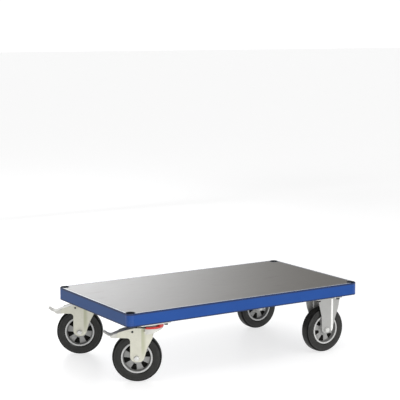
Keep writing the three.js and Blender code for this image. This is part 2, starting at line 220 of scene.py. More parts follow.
# corner points (x, y, radius), each corner rounded to its radius
def roundedOutline(corners, steps=8):
    outline = []
    for k, (x, y, radius) in enumerate(corners):
        here = Vector((x, y))
        before = Vector(corners[k - 1][:2]) - here
        after = Vector(corners[(k + 1) % len(corners)][:2]) - here
        half = before.angle(after) / 2
        if radius <= 0 or abs(half - math.pi / 2) < 1e-4:
            outline.append((x, y))
            continue
        reach = min(radius / math.tan(half), before.length * 0.49, after.length * 0.49)
        radius = reach * math.tan(half)
        start, end = here + before.normalized() * reach, here + after.normalized() * reach
        middle = here + (before.normalized() + after.normalized()).normalized() * (radius / math.sin(half))
        first = math.atan2(start.y - middle.y, start.x - middle.x)
        sweep = math.atan2(end.y - middle.y, end.x - middle.x) - first
        sweep = (sweep + math.pi) % (2 * math.pi) - math.pi
        for n in range(steps + 1):
            angle = first + sweep * n / steps
            outline.append((middle.x + radius * math.cos(angle), middle.y + radius * math.sin(angle)))
    return outline


def arcOf(x, y, radius, start, end, steps):
    angles = [math.radians(start + (end - start) * n / steps) for n in range(steps + 1)]
    return [(x + radius * math.cos(a), y + radius * math.sin(a)) for a in angles]


def circleOf(x, y, radius, steps=32):
    return arcOf(x, y, radius, 0, 360, steps)[:-1]


# a plate with softened edges from closed outlines in X and Y, between z = low and high
def plate(outlines, low, high, edge=0.6):
    curve = bpy.data.curves.new("plate", "CURVE")
    curve.dimensions = "2D"
    curve.fill_mode = "BOTH"
    for points in outlines:
        spline = curve.splines.new("POLY")
        spline.points.add(len(points) - 1)
        for place, (x, y) in zip(spline.points, points):
            place.co = (x, y, 0, 1)
        spline.use_cyclic_u = True
    curve.extrude = (high - low) / 2 - edge
    curve.bevel_depth = edge
    curve.bevel_resolution = 1
    curve.offset = -edge
    holder = bpy.data.objects.new("plate", curve)
    bpy.context.scene.collection.objects.link(holder)
    mesh = bpy.data.meshes.new_from_object(holder.evaluated_get(bpy.context.evaluated_depsgraph_get()))
    bpy.data.objects.remove(holder)
    bpy.data.curves.remove(curve)
    soft = bmesh.new()
    soft.from_mesh(mesh)
    bmesh.ops.remove_doubles(soft, verts=soft.verts, dist=0.001)
    bmesh.ops.recalc_face_normals(soft, faces=soft.faces)
    soft.verts.index_update()
    middle = (high + low) / 2
    points = [vertex.co + Vector((0, 0, middle)) for vertex in soft.verts]
    faces = [[vertex.index for vertex in face.verts] for face in soft.faces]
    soft.free()
    bpy.data.meshes.remove(mesh)
    return points, faces


# the same plate standing up: outlines in X and Z, from y = near to far
def standingPlate(outlines, near, far, edge=0.6):
    flat = plate(outlines, -far, -near, edge)
    return moved(flat, Matrix.Rotation(math.pi / 2, 4, "X"))


# cuts a shape along planes across X, so that it can be bent there
def scored(shape, places):
    mesh = bpy.data.meshes.new("scored")
    mesh.from_pydata([tuple(p) for p in shape[0]], [], shape[1])
    cutter = bmesh.new()
    cutter.from_mesh(mesh)
    for x in places:
        everything = list(cutter.verts) + list(cutter.edges) + list(cutter.faces)
        bmesh.ops.bisect_plane(cutter, geom=everything, plane_co=(x, 0, 0), plane_no=(1, 0, 0))
    cutter.verts.index_update()
    points = [vertex.co.copy() for vertex in cutter.verts]
    faces = [[vertex.index for vertex in face.verts] for face in cutter.faces]
    cutter.free()
    bpy.data.meshes.remove(mesh)
    return points, faces


# turned solid about Z from (radius, height) points, closed on itself or on the axis
def turned(profile, sides=96, closed=True):
    points, faces, rows = [], [], []
    for radius, height in profile:
        if radius < 1e-6:
            rows.append([len(points)] * sides)
            points.append(Vector((0, 0, height)))
            continue
        rows.append(list(range(len(points), len(points) + sides)))
        for k in range(sides):
            angle = 2 * math.pi * k / sides
            points.append(Vector((radius * math.cos(angle), radius * math.sin(angle), height)))
    pairs = list(zip(rows, rows[1:]))
    if closed and profile[0][0] > 1e-6 and profile[-1][0] > 1e-6:
        pairs.append((rows[-1], rows[0]))
    for low, high in pairs:
        for k in range(sides):
            corners = [low[k], low[(k + 1) % sides], high[(k + 1) % sides], high[k]]
            face = list(dict.fromkeys(corners))
            if len(face) > 2:
                faces.append(face)
    return points, faces


# the same about Y, from (radius, y) points
def turnedOnAxle(profile, sides=96):
    return moved(turned(profile, sides), Matrix.Rotation(-math.pi / 2, 4, "X"))


# hexagon from z = 0 to height with its outer corners chamfered
def hexagon(flats, height, chamfer=0.8):
    corner = flats / math.sqrt(3)
    profile = [(0, 0), (corner, 0), (corner, height - chamfer), (corner * 0.9, height), (0, height)]
    return turned(profile, 6)


# a bent strip: stations of (x, z, half width) along its middle line
def bentStrip(stations, thickness):
    half, soft = thickness / 2, thickness * 0.28
    points, faces, count = [], [], 8
    for k, (x, z, wide) in enumerate(stations):
        x0, z0, _ = stations[max(k - 1, 0)]
        x1, z1, _ = stations[min(k + 1, len(stations) - 1)]
        along = Vector((x1 - x0, 0, z1 - z0)).normalized()
        up = Vector((-along.z, 0, along.x))
        rim = [
            (-wide, half - soft), (-wide + soft, half), (wide - soft, half), (wide, half - soft),
            (wide, -half + soft), (wide - soft, -half), (-wide + soft, -half), (-wide, -half + soft),
        ]
        for across, over in rim:
            points.append(Vector((x, across, z)) + up * over)
    for k in range(len(stations) - 1):
        for n in range(count):
            a, b = k * count + n, k * count + (n + 1) % count
            faces.append([a, b, b + count, a + count])
    faces.append(list(range(count)))
    last = (len(stations) - 1) * count
    faces.append(list(range(last + count - 1, last - 1, -1)))
    return points, faces


# smooth line through (x, z, half width) corners, rounded where the sheet bends
def bendLine(corners, radius, steps=5):
    line = [corners[0]]
    for k in range(1, len(corners) - 1):
        here = Vector(corners[k])
        before, after = Vector(corners[k - 1]) - here, Vector(corners[k + 1]) - here
        reach = min(radius, before.length * 0.45, after.length * 0.45)
        start, end = here + before.normalized() * reach, here + after.normalized() * reach
        for n in range(steps + 1):
            t = n / steps
            line.append(tuple(start * (1 - t) ** 2 + here * (2 * t * (1 - t)) + end * t ** 2))
    line.append(corners[-1])
    return line


def addPiece(name, shape, finish, body, nodes, place=Matrix.Identity(4)):
    mesh = bpy.data.meshes.new(name)
    points, faces = moved(shape, place @ Matrix.Scale(millimetre, 4))
    mesh.from_pydata([tuple(p) for p in points], [], faces)
    whole = bmesh.new()
    whole.from_mesh(mesh)
    bmesh.ops.remove_doubles(whole, verts=whole.verts, dist=1e-6)
    bmesh.ops.recalc_face_normals(whole, faces=whole.faces)
    whole.to_mesh(mesh)
    whole.free()
    return finishPiece(name, mesh, finish, body, nodes)


# edges that turn by more than sharpAngle stay crisp, so that flat faces shade evenly
def finishPiece(name, mesh, finish, body, nodes, sharpAngle=20):
    mesh.shade_smooth()
    mesh.set_sharp_from_angle(angle=math.radians(sharpAngle))
    piece = bpy.data.objects.new(name, mesh)
    bpy.context.scene.collection.objects.link(piece)
    mesh.materials.clear()
    mesh.materials.append(finish.material)
    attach(piece, body)
    if nodes:
        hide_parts(*nodes)
    return piece


# a CAD node's own shape with its sharp edges rounded
def softened(node, edge, finish, body, steps=3):
    mesh = frame["nodes"][node].data.copy()
    mesh.name = node + "_soft"
    soft = bmesh.new()
    soft.from_mesh(mesh)
    bmesh.ops.remove_doubles(soft, verts=soft.verts, dist=2e-6)
    bmesh.ops.dissolve_limit(soft, angle_limit=math.radians(1), verts=soft.verts, edges=soft.edges)
    sharp = [e for e in soft.edges if len(e.link_faces) == 2 and e.calc_face_angle() > math.radians(35)]
    bmesh.ops.bevel(soft, geom=sharp, offset=edge * millimetre, segments=steps, profile=0.5,
                    affect="EDGES", clamp_overlap=True)
    bmesh.ops.recalc_face_normals(soft, faces=soft.faces)
    soft.to_mesh(mesh)
    soft.free()
    return finishPiece(node + "_soft", mesh, finish, body, [node], 12)


laminate = {
    "light": (0.190, 0.179, 0.163),
    "dark": (0.150, 0.140, 0.127),
    # painted highlight: the pale blue-white colour of the line along the board's edges
    "edge": (0.78, 0.85, 0.92),
    "gloss": 0.27,
    "edgeHighlightWidth": 0.004,
    "bump": (0.10, 0.0004),     # strength and distance, as in every finish
}


def makeLaminate():
    finish = Finish("grey deck laminate")
    x, y, _ = finish.axes(finish.place)
    _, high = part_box("deck_board")
    cloud = finish.noise(3.2, 4, 0.55)
    grain = finish.noise(34, 6, 0.62, finish.stretched((0.35, 2.2, 1)))
    flecks = finish.step(finish.noise(420, 2, 0.5), 0.60, 0.72)
    rubbed = finish.step(finish.noise(9, 5, 0.7, finish.stretched((0.5, 1.6, 1))), 0.56, 0.74)
    share = (cloud * 0.55 + grain * 0.45 + flecks * 0.10 - rubbed * 0.08).least(1)
    face = finish.blendColours(share, laminate["dark"], laminate["light"])
    # painted highlight: a pale line along the board's edges, where the rounded edge would catch the light
    toEdge = (high.x - x.size()).least(high.y - y.size())
    rim = 1 - finish.step(toEdge, laminate["edgeHighlightWidth"] * 0.6, laminate["edgeHighlightWidth"])
    finish.fixed(Base_Color=finish.blendColours(rim, face, laminate["edge"]))
    finish.fixed(Roughness=laminate["gloss"] + grain * 0.10 + rubbed * 0.07 + flecks * 0.04)
    finish.fixed(Normal=finish.bump(grain * 0.7 + flecks * 0.3, *laminate["bump"]))
    finish.fixed(Specular_IOR_Level=0.5, Coat_Roughness=0.25)
    return finish


bluePaint = {
    "body": (0.003, 0.070, 0.325),
    "deep": (0.002, 0.053, 0.270),
    # painted shade: the deep navy along the rails' top and bottom edges
    "edge": (0.002, 0.016, 0.075),
    "dust": (0.12, 0.17, 0.30),
    "gloss": 0.38,
    # painted shade: the darker, greyer blue given to the end rails
    "shadedBlue": (0.006, 0.062, 0.225),
    # heights of the top and bottom edge bands, which take the painted shade and some real settled dust
    "topEdge": (-0.0085, -0.0065),
    "lowEdge": (-0.0475, -0.0505),
    "specular": 0.22,
    "bump": (0.16, 0.00025),
}


def makeBluePaint(name, coat, coatRoughness, shadeShare):
    finish = Finish(name)
    _, _, z = finish.axes(finish.place)
    cloud = finish.noise(7, 4, 0.6)
    peel = finish.noise(620, 2, 0.5)
    scuffs = finish.step(finish.noise(46, 5, 0.68, finish.stretched((0.6, 0.6, 3.0))), 0.63, 0.74)
    # painted shade along the top and bottom edges in the navy edge colour, with real settled dust there as
    # well
    edges = finish.step(z, *bluePaint["topEdge"]) + finish.step(z, *bluePaint["lowEdge"])
    settled = edges * finish.noise(28, 4, 0.6) * 0.12
    paint = finish.blendColours(cloud, bluePaint["deep"], bluePaint["body"])
    # painted shade: a share of the darker end-rail blue
    paint = finish.blendColours(shadeShare, paint, bluePaint["shadedBlue"])
    paint = finish.blendColours((edges * 0.9).least(1), paint, bluePaint["edge"])
    dusty = (scuffs * 0.12 + settled).least(1)
    finish.fixed(Base_Color=finish.blendColours(dusty, paint, bluePaint["dust"]))
    finish.fixed(Roughness=bluePaint["gloss"] + cloud * 0.08 + scuffs * 0.18 + settled * 0.4)
    finish.fixed(Normal=finish.bump(peel + scuffs * 0.2, *bluePaint["bump"]))
    finish.fixed(Coat_Weight=coat - scuffs * 0.1, Coat_Roughness=coatRoughness)
    finish.fixed(Specular_IOR_Level=bluePaint["specular"])
    return finish


capPlastic = {
    "body": (0.005, 0.008, 0.014),
    "worn": (0.018, 0.022, 0.030),
    "gloss": 0.78,
    "specular": 0.05,
    "bump": (0.22, 0.0002),
}


def makeCapPlastic():
    finish = Finish("black cap plastic")
    cloud = finish.noise(60, 4, 0.6)
    grain = finish.noise(1400, 2, 0.5)
    scuffs = finish.step(finish.noise(130, 4, 0.7), 0.60, 0.75)
    worn = scuffs * 0.5 + cloud * 0.2
    finish.fixed(Base_Color=finish.blendColours(worn, capPlastic["body"], capPlastic["worn"]))
    finish.fixed(Roughness=capPlastic["gloss"] + cloud * 0.12 + scuffs * 0.12)
    finish.fixed(Normal=finish.bump(grain, *capPlastic["bump"]))
    finish.fixed(Specular_IOR_Level=capPlastic["specular"])
    return finish


creamZinc = {
    "light": (0.78, 0.77, 0.67),
    "dark": (0.55, 0.54, 0.445),
    "stain": (0.36, 0.35, 0.26),
    "gloss": 0.36,
    "metal": 0.55,
}
greyZinc = {
    "light": (0.48, 0.48, 0.465),
    "dark": (0.35, 0.35, 0.34),
    "stain": (0.22, 0.22, 0.21),
    "gloss": 0.36,
    "metal": 0.5,
}
brightZinc = {
    "light": (0.84, 0.84, 0.82),
    "dark": (0.50, 0.50, 0.48),
    "stain": (0.24, 0.24, 0.23),
    "gloss": 0.24,
    "metal": 0.6,
}
pedalZinc = {
    "light": (0.78, 0.77, 0.72),
    "dark": (0.58, 0.57, 0.53),
    "stain": (0.26, 0.26, 0.24),
    "gloss": 0.42,
    "metal": 0.3,
}
# painted light at each fork's crease: painted shade beside the swivel fork's crease and a painted highlight
# along the fixed fork's step; rise and fall are ahead of the axle, low is a height
swivelCreaseShade = {
    "rise": (0.0165, 0.0225),
    "fall": (0.0260, 0.0420),
    "low": (-0.215, -0.150),
    "strength": 0.58,
    "paintedTone": (0.36, 0.38, 0.22),
}
# painted highlight: the white line along the fixed fork's step
fixedCreaseHighlight = {
    "rise": (0.0235, 0.0245),
    "fall": (0.0295, 0.0305),
    "low": (-0.225, -0.205),
    "strength": 1.0,
    "paintedTone": (1.0, 1.0, 0.98),
}
zincBump = (0.12, 0.0003)


# a band of painted light at the crease, in the tone its table gives, needs the wheel's centre and the
# direction ahead
def makeZinc(name, look, band=None, centre=None, forward=None):
    finish = Finish(name)
    cloud = finish.noise(24, 5, 0.6)
    sockets = {"Vector": finish.place, "Scale": 340.0}
    spangle = finish.add("ShaderNodeTexVoronoi", {"feature": "F1"}, sockets, "Color")
    tint = finish.add("ShaderNodeSeparateColor", {}, {"Color": spangle}, "Red")
    brushed = finish.noise(90, 4, 0.6, finish.stretched((1, 1, 9)))
    stain = finish.step(finish.noise(38, 5, 0.72), 0.60, 0.78)
    share = cloud * 0.6 + tint * 0.16 + brushed * 0.24
    base = finish.blendColours(share, look["dark"], look["light"])
    if band:
        ahead = finish.along(centre, forward)
        _, _, z = finish.axes(finish.place)
        paintedCrease = finish.between(ahead, band["rise"], band["fall"]) * finish.step(z, *band["low"])
        # painted light: the crease band takes its painted tone
        base = finish.blendColours(paintedCrease * band["strength"], base, band["paintedTone"])
    finish.fixed(Base_Color=finish.blendColours(stain * 0.28, base, look["stain"]))
    finish.fixed(Roughness=look["gloss"] + cloud * 0.10 + stain * 0.15 + tint * 0.05)
    finish.fixed(Metallic=look["metal"] - stain * 0.2)
    finish.fixed(Normal=finish.bump(brushed * 0.6 + tint * 0.4, *zincBump))
    return finish


darkSteel = {
    "light": (0.050, 0.050, 0.050),
    "dark": (0.018, 0.018, 0.019),
    "gloss": 0.40,
    "metal": 0.7,
    "bump": (0.16, 0.0003),
}


def makeDarkSteel():
    finish = Finish("dark plated steel")
    cloud = finish.noise(80, 4, 0.6)
    nicks = finish.step(finish.noise(260, 3, 0.7), 0.60, 0.72)
    finish.fixed(Base_Color=finish.blendColours(cloud + nicks * 0.2, darkSteel["dark"], darkSteel["light"]))
    finish.fixed(Roughness=darkSteel["gloss"] + cloud * 0.12 + nicks * 0.14)
    finish.fixed(Metallic=darkSteel["metal"] - nicks * 0.15)
    finish.fixed(Normal=finish.bump(cloud * 0.5 + nicks * 0.5, *darkSteel["bump"]))
    return finish


# the pairs are distances from the axle, in metres
tyreRubber = {
    "body": (0.009, 0.009, 0.008),
    "bloom": (0.026, 0.026, 0.024),
    # painted shade: the near-black of the band at the tyre's shoulder, where the rubber turns away from the
    # light
    "black": (0.0025, 0.0025, 0.0025),
    "dust": (0.10, 0.097, 0.09),
    "shoulderRise": (0.0925, 0.0950),
    "shoulderFall": (0.0970, 0.0990),
    "shineRise": (0.0865, 0.0880),
    "shineFall": (0.0900, 0.0920),
    "tread": (0.0965, 0.0995),
    "gloss": 0.36,
    "specular": 0.08,
    "coat": 0.34,
    "coatRoughness": 0.24,
    "bump": (0.25, 0.0005),
}


def makeTyreRubber(side, centre, axle):
    finish = Finish("tyre rubber " + side)
    radius = finish.fromAxle(centre, axle)
    tread = finish.step(radius, *tyreRubber["tread"])
    # painted shade on the shoulder band, which also loses its coat
    paintedShoulderShade = finish.between(radius, tyreRubber["shoulderRise"], tyreRubber["shoulderFall"])
    shine = finish.between(radius, tyreRubber["shineRise"], tyreRubber["shineFall"])
    cloud = finish.noise(32, 5, 0.62)
    pores = finish.noise(900, 3, 0.6)
    dusty = finish.step(finish.noise(55, 5, 0.7), 0.46, 0.72)
    rubber = finish.blendColours(cloud, tyreRubber["body"], tyreRubber["bloom"])
    rubber = finish.blendColours(paintedShoulderShade, rubber, tyreRubber["black"])
    finish.fixed(Base_Color=finish.blendColours((tread * 0.12 + 0.06) * dusty, rubber, tyreRubber["dust"]))
    finish.fixed(Roughness=tyreRubber["gloss"] + cloud * 0.12 + tread * 0.20 + dusty * 0.06)
    finish.fixed(Normal=finish.bump(pores * 0.5 + cloud * 0.5, *tyreRubber["bump"]))
    coat = tyreRubber["coat"] + shine * 0.6 + cloud * 0.2 - tread * 0.1
    finish.fixed(Coat_Weight=(coat * (1 - paintedShoulderShade)).least(1))
    finish.fixed(Specular_IOR_Level=tyreRubber["specular"], Coat_Roughness=tyreRubber["coatRoughness"])
    return finish


rimPlastic = {
    "light": (0.46, 0.46, 0.45),
    "dark": (0.27, 0.27, 0.262),
    # painted light: the paler grey of the rim's outer lip, where its face catches the light
    "lip": (0.58, 0.58, 0.57),
    # the grime colour, used for real grime and for the painted shade ring inside the lip
    "grime": (0.08, 0.08, 0.075),
    # painted shade: the near-black of the faces sunk inside the rim's pockets
    "sunkShade": (0.014, 0.014, 0.013),
    # painted shade: the dark ring just inside the lip, painted in the grime colour
    "shadeRise": (0.0505, 0.0530),
    "shadeFall": (0.0560, 0.0572),
    "lipStart": (0.0565, 0.0580),
    # the web's half thickness at the axle and how fast it thins outwards
    "web": 0.01435,
    "thinning": 0.1176,
    # how far below the web's face the painted pocket shade starts and is full
    "pocket": (0.0004, 0.0014),
    "gloss": 0.42,
    "bump": (0.2, 0.0003),
}


def makeRimPlastic(side, centre, axle):
    finish = Finish("rim plastic " + side)
    radius = finish.fromAxle(centre, axle)
    lip = finish.step(radius, *rimPlastic["lipStart"])
    shade = finish.between(radius, rimPlastic["shadeRise"], rimPlastic["shadeFall"])
    face = rimPlastic["web"] - radius * rimPlastic["thinning"]
    # painted shade: faces sunk below the web's face, inside the pockets, go dark
    sunkShade = finish.step(face - finish.along(centre, axle).size(), *rimPlastic["pocket"]) * (1 - lip)
    cloud = finish.noise(46, 5, 0.6)
    grain = finish.noise(1100, 2, 0.5)
    grime = finish.step(finish.noise(70, 5, 0.72), 0.52, 0.76)
    base = finish.blendColours(cloud, rimPlastic["dark"], rimPlastic["light"])
    # painted light: the outer lip painted paler
    base = finish.blendColours(lip, base, rimPlastic["lip"])
    # real grime, less on the lip, plus the painted shade ring, both in the grime colour
    share = (grime * (0.30 - lip * 0.18) + shade * 0.6).least(1)
    base = finish.blendColours(share, base, rimPlastic["grime"])
    finish.fixed(Base_Color=finish.blendColours(sunkShade * 0.95, base, rimPlastic["sunkShade"]))
    finish.fixed(Roughness=rimPlastic["gloss"] + cloud * 0.12 + grime * 0.12)
    finish.fixed(Normal=finish.bump(grain * 0.7 + cloud * 0.3, *rimPlastic["bump"]))
    return finish


pocketShadePlastic = {
    "body": (0.009, 0.009, 0.008),
    "dust": (0.032, 0.032, 0.029),
    "gloss": 0.7,
    "specular": 0.06,
    "bump": (0.2, 0.0003),
}


# painted shade: black plastic at the bottom of the rim's pockets, standing in for the shade inside them
def makePocketShadePlastic():
    finish = Finish("black pocket shade plastic")
    cloud = finish.noise(70, 4, 0.6)
    dusty = finish.step(finish.noise(120, 4, 0.7), 0.5, 0.75)
    finish.fixed(Base_Color=finish.blendColours(dusty * 0.6, pocketShadePlastic["body"], pocketShadePlastic["dust"]))
    finish.fixed(Roughness=pocketShadePlastic["gloss"] + cloud * 0.15)
    finish.fixed(Normal=finish.bump(cloud, *pocketShadePlastic["bump"]))
    finish.fixed(Specular_IOR_Level=pocketShadePlastic["specular"])
    return finish


liningRubber = {
    "light": (0.040, 0.039, 0.038),
    "dark": (0.012, 0.012, 0.012),
    "gloss": 0.62,
    "bump": (0.35, 0.0004),
}


def makeLining():
    finish = Finish("brake lining")
    cloud = finish.noise(120, 5, 0.65)
    grit = finish.noise(1500, 3, 0.6)
    finish.fixed(Base_Color=finish.blendColours(cloud, liningRubber["dark"], liningRubber["light"]))
    finish.fixed(Roughness=liningRubber["gloss"] + grit * 0.25)
    finish.fixed(Normal=finish.bump(grit, *liningRubber["bump"]))
    return finish


redPlastic = {
    "body": (0.68, 0.026, 0.020),
    "deep": (0.48, 0.014, 0.011),
    "scuff": (0.75, 0.25, 0.20),
    "gloss": 0.26,
    "coat": 0.35,
    "coatRoughness": 0.12,
    "bump": (0.12, 0.0004),
}


def makeRedPlastic():
    finish = Finish("red pedal plastic")
    cloud = finish.noise(50, 4, 0.6)
    scuffs = finish.step(finish.noise(150, 5, 0.72), 0.60, 0.74)
    body = finish.blendColours(cloud, redPlastic["deep"], redPlastic["body"])
    finish.fixed(Base_Color=finish.blendColours(scuffs * 0.22, body, redPlastic["scuff"]))
    finish.fixed(Roughness=redPlastic["gloss"] + scuffs * 0.22 + cloud * 0.06)
    finish.fixed(Normal=finish.bump(cloud * 0.4 + scuffs * 0.3, *redPlastic["bump"]))
    finish.fixed(Coat_Weight=redPlastic["coat"] - scuffs * 0.2, Coat_Roughness=redPlastic["coatRoughness"])
    return finish


grey = makeLaminate()
blue = makeBluePaint("blue powder coat", coat=0.14, coatRoughness=0.10, shadeShare=0.0)
# painted shade: the end rails take a darker copy of the same blue paint, for the weaker light on their faces
shadedEndBlue = makeBluePaint("blue end rail painted shade", coat=0.10, coatRoughness=0.14, shadeShare=0.8)
glossBlue = makeBluePaint("blue tube coat", coat=0.45, coatRoughness=0.06, shadeShare=0.0)
black = makeCapPlastic()
# painted shade for the rim's pockets
pocket = makePocketShadePlastic()
cream = makeZinc("cream zinc", creamZinc)
bright = makeZinc("bright zinc", brightZinc)
pedal = makeZinc("pedal zinc", pedalZinc)
dark = makeDarkSteel()
lining = makeLining()
red = makeRedPlastic()
print("finishes made")

floorLevel = -300
railBottom = 246     # above the floor, as all caster heights are
gap = 0.3            # between solids that touch
sides = ("front", "back")
railEdges = {"rails": 1.2, "bearers": 0.9, "board": 0.7}


def platformFrame():
    softened("deck_board", railEdges["board"], grey, "platform", 2)
    for node in ("front_rail", "back_rail"):
        softened(node, railEdges["rails"], blue, "platform")
    for node in ("left_rail", "right_rail"):
        softened(node, railEdges["rails"], shadedEndBlue, "platform")
    for node in ("front_ledge", "back_ledge", "swivel_bearer", "fixed_bearer", "middle_bearer"):
        softened(node, railEdges["bearers"], blue, "platform", 2)


platformFrame()

corner = {
    "radius": 20,
    "wall": 3,
    "capRadius": 17.5,
    "capRise": 1.6,
    "stem": 16.5,
    "stemDepth": 20,
    "weldRadius": 1.3,
    "seamTurn": 5.5,
}
weld = {"rowHeight": 0.8, "ripple": 0.14, "rippleTurn": 1.1}


def cornerTube(bottom, top):
    outer, inner = corner["radius"], corner["radius"] - corner["wall"]
    return turned([
        (inner, bottom + 0.6), (inner + 0.6, bottom), (outer - 0.6, bottom), (outer, bottom + 0.6),
        (outer, top - 0.8), (outer - 0.8, top), (inner + 0.5, top), (inner, top - 0.5),
    ])


def cornerCap(seat):
    rim, stem, rise = corner["capRadius"], corner["stem"], corner["capRise"]
    bottom = seat - corner["stemDepth"]
    return turned([
        (0, bottom), (stem - 2, bottom), (stem, bottom + 3), (stem, seat), (rim, seat),
        (rim, seat + rise * 0.35), (rim - 0.5, seat + rise * 0.75), (rim - 1.6, seat + rise * 0.97),
        (rim - 3, seat + rise), (rim - 3.6, seat + rise * 0.8), (rim - 4.4, seat + rise * 0.8),
        (rim - 5, seat + rise), (0, seat + rise),
    ])


# a rippled weld bead from z = bottom to top
def weldBead(x, y, bottom, top, radius):
    points, faces, sidesRound = [], [], 10
    rows = int((top - bottom) / weld["rowHeight"])
    ripple = weld["ripple"]
    for n in range(rows + 1):
        swell = radius * (1 - ripple + ripple * abs(math.sin(n * weld["rippleTurn"])))
        swell *= min(1, 0.35 + 0.4 * min(n, rows - n))
        for k in range(sidesRound):
            angle = 2 * math.pi * k / sidesRound
            height = bottom + (top - bottom) * n / rows
            points.append(Vector((x + swell * math.cos(angle), y + swell * math.sin(angle), height)))
    for n in range(rows):
        for k in range(sidesRound):
            a, b = n * sidesRound + k, n * sidesRound + (k + 1) % sidesRound
            faces.append([a, b, b + sidesRound, a + sidesRound])
    faces.append(list(range(sidesRound))[::-1])
    faces.append(list(range(rows * sidesRound, (rows + 1) * sidesRound)))
    return points, faces


def platformCorners():
    for spot in ("front_left", "front_right", "back_left", "back_right"):
        low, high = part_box("corner_tube_" + spot)
        middle = (low + high) / 2
        bottom, top = low.z / millimetre, high.z / millimetre
        here = Matrix.Translation((middle.x, middle.y, 0))
        addPiece("tube_" + spot, cornerTube(bottom, top), glossBlue, "platform",
                 ["corner_tube_" + spot], here)
        addPiece("cap_" + spot, cornerCap(0), black, "platform",
                 ["corner_cap_" + spot], here)
        outX, outY = math.copysign(1, middle.x), math.copysign(1, middle.y)
        radius = corner["weldRadius"]
        beads = []
        # seams inside the frame, where each rail's web runs into the tube
        for angle in (12, 78):
            x = -outX * (corner["radius"] + 0.4) * math.cos(math.radians(angle))
            y = -outY * (corner["radius"] + 0.4) * math.sin(math.radians(angle))
            beads.append(weldBead(x, y, bottom + 4, top - 14, radius))
        seam = corner["radius"] - corner["weldRadius"] * 0.7
        beads.append(weldBead(-outX * corner["seamTurn"], outY * seam, bottom + 1.5, top - 2, radius * 0.7))
        beads.append(weldBead(outX * seam, -outY * corner["seamTurn"], bottom + 1.5, top - 2, radius * 0.7))
        addPiece("weld_" + spot, together(*beads), blue, "platform", [], here)


platformCorners()
print("platform made")

wheel = {
    "radius": 100,
    "tread": 46,
    "rim": 63.5,
    "rimWidth": 45,
    "hub": 20,
    "hubWidth": 55.4,
    "bore": 11.6,
    "windows": 6,
    "windowTurn": 15,
    "core": 13,
    "webAtHub": 12,      # half thickness
    "webAtRim": 8,
    "webRadius": 54,
}


def tyreShape():
    outer, half, bore = wheel["radius"], wheel["tread"] / 2, wheel["rim"] + 0.4
    side = [
        (bore, half - 2.6), (bore + 0.5, half - 1.9), (bore + 2.0, half - 1.2), (70.0, half - 0.5),
        (75.0, half - 0.1), (80.0, half), (84.0, half - 0.2), (86.6, half - 0.7), (87.4, half - 1.0),
        (87.9, half - 2.3), (89.1, half - 2.3), (89.6, half - 0.9), (91.4, half - 1.1), (93.4, half - 1.8),
        (95.6, half - 3.0), (97.6, half - 5.0), (98.9, half - 7.6), (99.6, half - 10.4), (99.92, half - 13),
        (outer, half - 16),
    ]
    tread = [(outer, 0.9), (outer - 0.4, 0.3), (outer - 0.4, -0.3), (outer, -0.9)]
    return turnedOnAxle(side + tread + [(r, -y) for r, y in reversed(side)], 144)


def rimWindow(angle):
    corners = [(28, -5.4, 2.6), (52.4, -13.2, 3.2), (54.0, 0, 60), (52.4, 13.2, 3.2), (28, 5.4, 2.6)]
    cosine, sine = math.cos(math.radians(angle)), math.sin(math.radians(angle))
    return [(x * cosine - y * sine, x * sine + y * cosine) for x, y in roundedOutline(corners, 6)]


def rimShape():
    half, hubHalf = wheel["rimWidth"] / 2, wheel["hubWidth"] / 2
    rim, hub, bore = wheel["rim"], wheel["hub"], wheel["bore"]
    ring = [
        (rim, half - 0.8), (rim - 0.8, half), (58.0, half), (56.9, half - 0.7), (56.5, half - 2.0),
        (55.2, 10.0), (54.2, 7.0), (53.4, 4.0),
    ]
    ring = turnedOnAxle(ring + [(r, -y) for r, y in reversed(ring)])
    cone = [
        (bore, hubHalf - 0.6), (bore + 0.6, hubHalf), (hub - 3.2, hubHalf), (hub - 2.2, hubHalf - 0.8),
        (hub - 1.0, hubHalf - 8), (hub + 0.4, 14.5), (hub + 3.2, 12.2), (hub + 6.0, 11.2), (hub + 6.0, 6),
    ]
    cone = turnedOnAxle(cone + [(r, -y) for r, y in reversed(cone)])
    windows = [rimWindow(wheel["windowTurn"] + 360 / wheel["windows"] * k) for k in range(wheel["windows"])]
    atHub, atRim, reach = wheel["webAtHub"], wheel["webAtRim"], wheel["webRadius"] - hub
    points, faces = plate([circleOf(0, 0, 58, 96), circleOf(0, 0, 22, 64), *windows], -atRim, atRim, 1.0)
    # the web thickens towards the hub
    for point in points:
        outwards = math.hypot(point.x, point.y) - hub
        point.z = point.z * (atHub - (atHub - atRim) * outwards / reach) / atRim
    web = moved((points, faces), Matrix.Rotation(math.pi / 2, 4, "X"))
    return together(ring, cone, web)


# the core at the bottom of the rim's pockets, black as painted shade
def rimCore():
    half = wheel["core"] / 2
    return turnedOnAxle([(24, half), (55.5, half), (55.5, -half), (24, -half)], 64)


def hubSleeve():
    half, inner, outer = wheel["hubWidth"] / 2, 6.5, 11
    profile = [(inner, half - 0.4), (inner + 0.4, half), (outer - 0.4, half), (outer, half - 0.4)]
    return turnedOnAxle(profile + [(r, -y) for r, y in reversed(profile)], 48)


axle = {
    "radius": 6,
    "flats": 19,
    "headHeight": 7.5,
    "nutHeight": 10,
    "face": 31.8,
    "tail": 3.5,
}


# axle bolt along Y with its head at -Y
def axleBolt():
    face, radius = axle["face"], axle["radius"]
    head = moved(hexagon(axle["flats"], axle["headHeight"] - 1.4), Matrix.Rotation(math.pi / 2, 4, "X"))
    flange = turnedOnAxle([(0, 0), (10.9, 0), (10.9, -1.0), (9.6, -1.8), (0, -1.8)], 48)
    end = face + axle["nutHeight"] + axle["tail"]
    shank = turnedOnAxle([(0, -face), (radius, -face), (radius, end - 1), (radius - 1, end), (0, end)], 32)
    return together(shifted(head, y=-face - 1.4), shifted(flange, y=-face), shank)


